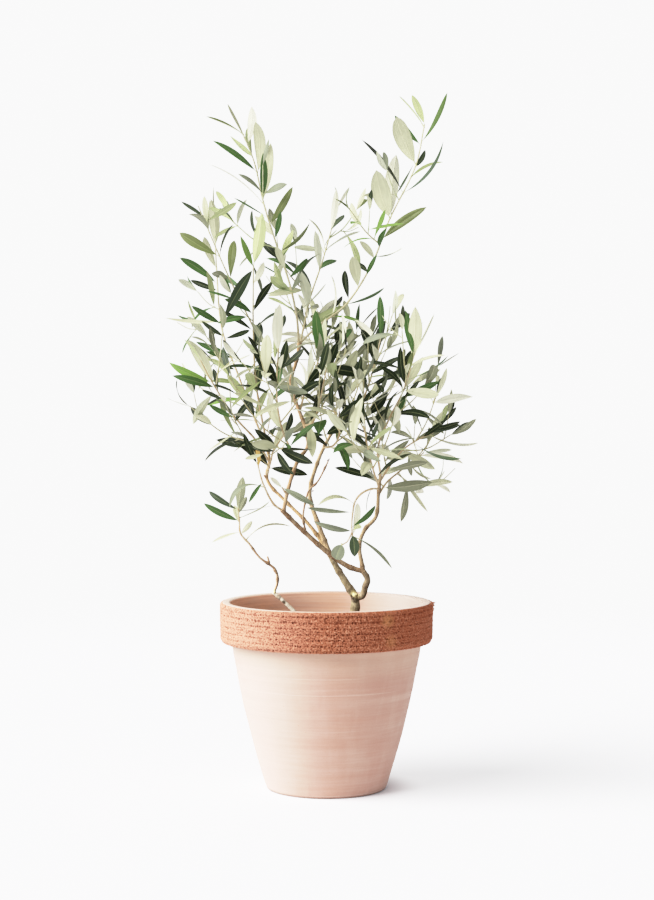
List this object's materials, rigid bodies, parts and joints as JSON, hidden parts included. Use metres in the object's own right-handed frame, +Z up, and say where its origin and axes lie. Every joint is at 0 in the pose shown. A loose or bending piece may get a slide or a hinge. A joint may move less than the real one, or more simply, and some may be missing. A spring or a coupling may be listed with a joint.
{
  "type": "potted olive tree",
  "caption": "Young olive tree with slender leaning stems and an open crown of narrow grey-green leaves, in a tapering terracotta pot with a thick rough band under its lip.",
  "frame": {"origin": "centre of the pot's flat underside, on the ground", "axes": "+Z up, -Y towards the viewer of the picture, +X to that viewer's right"},
  "size_m": [0.3608, 0.2713, 0.7875],
  "materials": {
    "clay": "matte",
    "band": "matte",
    "soil": "matte",
    "bark": "matte",
    "foliage": "satin"
  },
  "bodies": {
    "root": {"pot_body": "clay", "pot_band": "band", "soil": "soil", "trunk": "bark", "leader": "bark", "left_bough": "bark", "right_foot": "bark", "crossing_bough": "bark", "right_bough": "bark", "middle_bough": "bark", "bare_twig": "bark", "side_stem": "bark", "foliage_top_right": "foliage", "foliage_top_left": "foliage", "foliage_top_middle": "foliage", "foliage_left_inner": "foliage", "foliage_left_outer": "foliage", "foliage_left_low": "foliage", "foliage_left_spur": "foliage", "foliage_side_stem": "foliage", "foliage_low_front": "foliage", "foliage_low_left": "foliage", "foliage_front_left": "foliage", "foliage_middle": "foliage", "foliage_leader": "foliage", "foliage_front": "foliage", "foliage_low_middle": "foliage", "foliage_right_inner": "foliage", "foliage_right": "foliage", "foliage_right_outer": "foliage", "foliage_right_low": "foliage", "foliage_front_right": "foliage", "foliage_inner_twig": "foliage"}
  },
  "joints": []
}
